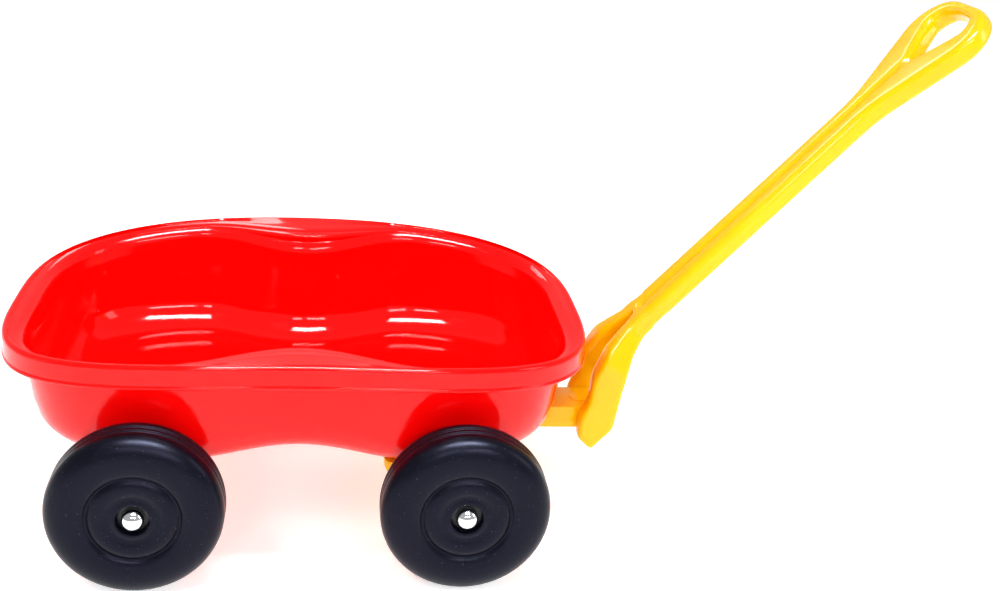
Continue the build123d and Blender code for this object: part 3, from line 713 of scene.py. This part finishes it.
# %% Handle skin and its directions
handle_skin = merged_copy("pull_handle", "handle_skin")
print("loose shells in the handle:", drop_inner_shells(handle_skin))

HANDLE_TILT = math.radians(48.0)
along_u = Vector((math.cos(HANDLE_TILT), 0, math.sin(HANDLE_TILT)))   # up along the stem
along_v = Vector((-math.sin(HANDLE_TILT), 0, math.cos(HANDLE_TILT)))  # square to its face
pin_low, pin_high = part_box("handle_pin")
pin_middle = (pin_low + pin_high) / 2

# %% [markdown]
# The valley between the fork's cheeks runs on up into the stem, above a thin web, narrower and
# shallower the higher it gets. That is a cut, so it is made with a cutter: a tapering ring stack, taken
# away with a boolean before the skin is rebuilt, so that its crisp edges melt with the others.

# %% The valley
VALLEY = [(16, 15.0, 4.0), (44, 8.0, 15.5), (70, 1.6, 26.5)]  # up the stem, half width, floor height
VALLEY_TOP, VALLEY_CORNER, FLOOR_SHARE = 60.0, 1.5, 0.5


def valley_ring(u, half_width, floor_v):
    """Six corners square to the stem, in millimetres from the pin; the floor is the narrow end."""
    corners = [(-half_width, floor_v + VALLEY_CORNER), (-half_width, VALLEY_TOP),
               (half_width, VALLEY_TOP), (half_width, floor_v + VALLEY_CORNER),
               (half_width * FLOOR_SHARE, floor_v), (-half_width * FLOOR_SHARE, floor_v)]
    return [pin_middle + (along_u * u + along_v * v + Vector((0, y, 0))) * MM for y, v in corners]


cutter = ring_stack("valley_cutter", [valley_ring(*section) for section in VALLEY])
valley = handle_skin.modifiers.new("valley", "BOOLEAN")
valley.operation = "DIFFERENCE"
valley.object = cutter
apply_modifiers(handle_skin)
bpy.data.objects.remove(cutter)
VOXEL = 0.0012  # small enough for the groove between the bars
soften(handle_skin, voxel=VOXEL, factor=0.5, repeats=4)

# %% [markdown]
# The grip's hole is a little wider on the real handle than in the CAD. A proportional scale by hand
# would do it. Here every corner near the hole is pushed away from its middle, in full at the hole's
# edge and fading to nothing towards the grip's outer edge, so the outline keeps its size.

# %% Grip hole
HOLE_MIDDLE_U, HOLE_REACH_U, HOLE_REACH_Y = 335.0 * MM, 19.0 * MM, 22.0 * MM
HOLE_PUSH = 3.0 * MM
HOLE_CORE, HOLE_FADE = 0.3, 1.45  # in hole sizes: the push acts between these two
pushed = 0
for corner in handle_skin.data.vertices:
    out = corner.co - pin_middle
    du, dy = out.dot(along_u) - HOLE_MIDDLE_U, out.y
    reach = math.hypot(du / HOLE_REACH_U, dy / HOLE_REACH_Y)
    if HOLE_CORE < reach < HOLE_FADE:
        push = HOLE_PUSH * min(1.0, (HOLE_FADE - reach) / (HOLE_FADE - 1.0)) / math.hypot(du, dy)
        corner.co += along_u * du * push + Vector((0, dy * push, 0))
        pushed += 1
print("corners pushed round the hole:", pushed)

# %% [markdown]
# The fork's cranked cheeks are rounder than the stem, so they are melted further: their corners are
# selected by their distance from the pin and smoothed again. The ones at the pin's bore stay put.

# %% Fork
BORE_REACH, FORK_REACH = 0.010, 0.088  # metres from the pin
make_active(handle_skin)
bpy.ops.object.mode_set(mode="EDIT")
bpy.ops.mesh.select_all(action="DESELECT")
shape = bmesh.from_edit_mesh(handle_skin.data)
for corner in shape.verts:
    out = corner.co - pin_middle
    corner.select_set(BORE_REACH < math.hypot(out.x, out.z) < FORK_REACH)
shape.select_flush_mode()
bmesh.update_edit_mesh(handle_skin.data)
bpy.ops.mesh.vertices_smooth(factor=0.5, repeat=14)
bpy.ops.object.mode_set(mode="OBJECT")
hand_over(handle_skin, "pull_handle", yellow.material)

# %% [markdown]
# ## Truck, carrier and small hardware
# The truck and the carrier are ribbed mouldings, the rest is turned, pressed or moulded hardware. All
# of it keeps its CAD shape, which is already exact. Each part gets a merged copy, flat areas dissolved
# into single faces, and a narrow rounding on every edge, because a moulded or turned edge always
# catches a thin line of light.


# %% Helper: rounded edges on a CAD mesh
FLAT_WITHIN, ROUND_ABOVE, SMOOTH_BELOW = math.radians(1.0), math.radians(35), math.radians(40)


def edge_rounded(node, name, material, width, segments=2):
    """A merged copy of the CAD node with every edge sharper than ROUND_ABOVE rounded to width."""
    piece = merged_copy(node, name)
    bpy.ops.object.mode_set(mode="EDIT")
    bpy.ops.mesh.select_all(action="SELECT")
    bpy.ops.mesh.dissolve_limited(angle_limit=FLAT_WITHIN)
    bpy.ops.object.mode_set(mode="OBJECT")
    bevel = piece.modifiers.new("rounded_edges", "BEVEL")
    bevel.width = width
    bevel.segments = segments
    bevel.limit_method = "ANGLE"
    bevel.angle_limit = ROUND_ABOVE
    bevel.use_clamp_overlap = True
    apply_modifiers(piece)
    bpy.ops.object.shade_smooth_by_angle(angle=SMOOTH_BELOW)
    hand_over(piece, node, material)


# %% Truck and hardware
MOULDED_EDGE, BUSH_EDGE, WASHER_EDGE, STEEL_EDGE = 0.0007, 0.0003, 0.0002, 0.00015
for node, name in (("front_truck", "truck_moulding"), ("rear_axle_carrier", "carrier_moulding")):
    edge_rounded(node, name, yellow.material, MOULDED_EDGE, segments=3)
for corner in tyres:
    bush, washer = corner + "_hub_bush", corner + "_washer"
    edge_rounded(bush, corner + "_bush_turned", bush_black.material, BUSH_EDGE)
    edge_rounded(washer, corner + "_washer_ring", nylon.material, WASHER_EDGE)
for node in ("front_axle", "rear_axle", "handle_pin", "kingpin_retainer", "kingpin_screw", "carrier_screws"):
    edge_rounded(node, node + "_turned", steel.material, STEEL_EDGE)

# %% [markdown]
# ## Stage, light and camera
# The wagon stands on a plain white floor. A floor lit by lamps alone would turn grey where the wagon
# shades it, so this one also glows a little, which keeps the shadows pale. The white world around it
# fills in the rest evenly.

# %% Floor and world
WHITE = (1.0, 1.0, 1.0, 1.0)
PAPER_GREY, PAPER_WHITE = (0.90, 0.90, 0.90), (0.93, 0.93, 0.93)
clear_selection()
bpy.ops.mesh.primitive_plane_add(size=14.0, location=(0, 0, 0))
floor = bpy.context.object
floor.name = "floor"
paper = Finish("floor_paper", IOR=1.45, Emission_Color=WHITE, Emission_Strength=0.52)
paper.drift(PAPER_GREY, PAPER_WHITE, paper.noise(scale=3.0))
paper.drive("Roughness", paper.span(paper.noise(scale=20.0), low=0.55, high=0.65))
paper.relief([(paper.noise(scale=400.0), 0.05, 0.1 * MM)])
floor.data.materials.append(paper.material)

world = bpy.data.worlds.new("studio")
bpy.context.scene.world = world
world.use_nodes = True
background = world.node_tree.nodes["Background"]
background.inputs["Color"].default_value = WHITE
background.inputs["Strength"].default_value = 0.45
print("floor and world are in place")

# %% [markdown]
# Rectangular soft boxes do the work. Two of unequal width stand in front: their mirror images break
# the lip and the floor's rounding into crisp bright windows. The arc box is seen by glossy surfaces
# alone: it draws the satin arcs on the wheels and adds no light. The key and top boxes do the
# opposite, so that highlights stay few and clean.


# %% Soft boxes
def soft_box(name, place, aim, width, height, power, seen_by="both"):
    """A rectangular lamp at place that faces aim; seen_by can be both, gloss or diffuse."""
    clear_selection()
    bpy.ops.object.light_add(type="AREA", location=place)
    lamp = bpy.context.object
    lamp.name = name
    lamp.rotation_euler = (Vector(aim) - Vector(place)).to_track_quat("-Z", "Y").to_euler()
    lamp.data.shape = "RECTANGLE"
    lamp.data.size = width
    lamp.data.size_y = height
    lamp.data.energy = power
    lamp.visible_diffuse = seen_by != "gloss"
    lamp.visible_glossy = seen_by != "diffuse"


TUB_MIDDLE, LEFT_OF_MIDDLE = (0, 0, 0.1), (-0.1, 0, 0.1)
soft_box("key", (-0.9, -0.9, 1.5), TUB_MIDDLE, width=0.45, height=0.35, power=9, seen_by="diffuse")
soft_box("top", (0.0, -0.45, 1.9), TUB_MIDDLE, width=1.0, height=0.2, power=18, seen_by="diffuse")
soft_box("arc", (0.0, -0.75, 1.8), TUB_MIDDLE, width=1.1, height=0.4, power=100, seen_by="gloss")
soft_box("front_wide", (0.45, -2.0, 1.15), LEFT_OF_MIDDLE, width=0.9, height=0.2, power=15)
soft_box("front_narrow", (-0.55, -2.0, 1.15), LEFT_OF_MIDDLE, width=0.4, height=0.2, power=7)
soft_box("back", (-0.6, 1.6, 1.4), TUB_MIDDLE, width=0.8, height=0.5, power=9)
soft_box("fill", (1.5, -0.5, 0.8), TUB_MIDDLE, width=0.4, height=0.8, power=5)
print("soft boxes:", len(bpy.data.lights))

# %% [markdown]
# The camera stands a little above the tub's rim, in front of its long side, with a slightly long lens,
# which keeps the wheels' circles round. Its turn is given as three directions: to its right, upwards
# and behind it. The small shift slides the frame over the scene without turning the camera.

# %% Camera
CAMERA_PLACE = (-0.113527, -0.77384, 0.452779)
CAMERA_RIGHT, CAMERA_UP = Vector((0.99031, -0.11916, 0.07118)), Vector((-0.02897, 0.32384, 0.94567))
camera_back = CAMERA_RIGHT.cross(CAMERA_UP)
camera_turn = Matrix((CAMERA_RIGHT, CAMERA_UP, camera_back)).transposed().to_4x4()
lens = bpy.data.cameras.new("camera")
lens.sensor_width = 36.0
lens.lens = 45.715
lens.shift_x = 0.0060
lens.shift_y = -0.0858
lens.clip_start = 10 * MM
camera = bpy.data.objects.new("camera", lens)
bpy.context.collection.objects.link(camera)
camera.matrix_world = Matrix.Translation(CAMERA_PLACE) @ camera_turn
bpy.context.scene.camera = camera
bpy.context.scene.view_settings.view_transform = "Standard"
print("camera at", CAMERA_PLACE)
